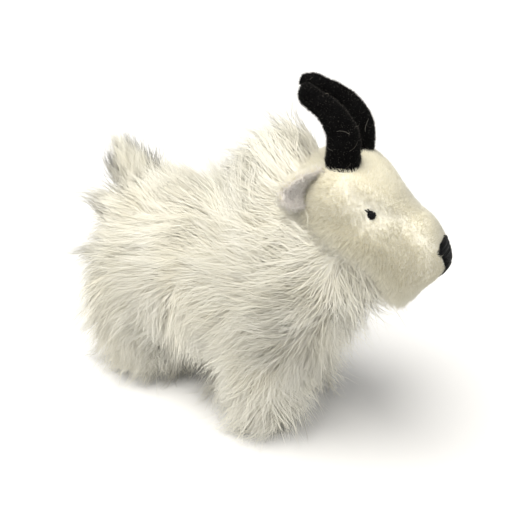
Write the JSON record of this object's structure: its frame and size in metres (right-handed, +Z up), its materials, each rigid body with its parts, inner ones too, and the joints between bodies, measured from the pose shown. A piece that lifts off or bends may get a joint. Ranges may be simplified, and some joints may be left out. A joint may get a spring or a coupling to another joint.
{
  "type": "plush toy mountain goat",
  "caption": "Stuffed toy mountain goat standing on short legs, with a long-pile coat, short-pile face and curved felt horns.",
  "frame": {"origin": "on the floor, under the middle of the bounding box", "axes": "+Z up, +X the way the goat faces, so its right side is at -Y"},
  "size_m": [0.1815, 0.0855, 0.1582],
  "materials": {
    "long_pile": "white long-pile faux fur, 20 to 25 mm pile",
    "short_pile": "cream short-pile plush, 2 mm pile",
    "felt": "black felt",
    "thread": "black stitched thread"
  },
  "bodies": {
    "root": {"torso": "long_pile", "neck": "long_pile", "tail": "long_pile", "leg_front_right": "long_pile", "leg_front_left": "long_pile", "leg_hind_right": "long_pile", "leg_hind_left": "long_pile", "head": "short_pile", "ear_right": "short_pile", "ear_left": "short_pile", "horn_right": "felt", "horn_left": "felt", "eye_right": "thread", "eye_left": "thread", "nose": "thread"}
  },
  "joints": []
}
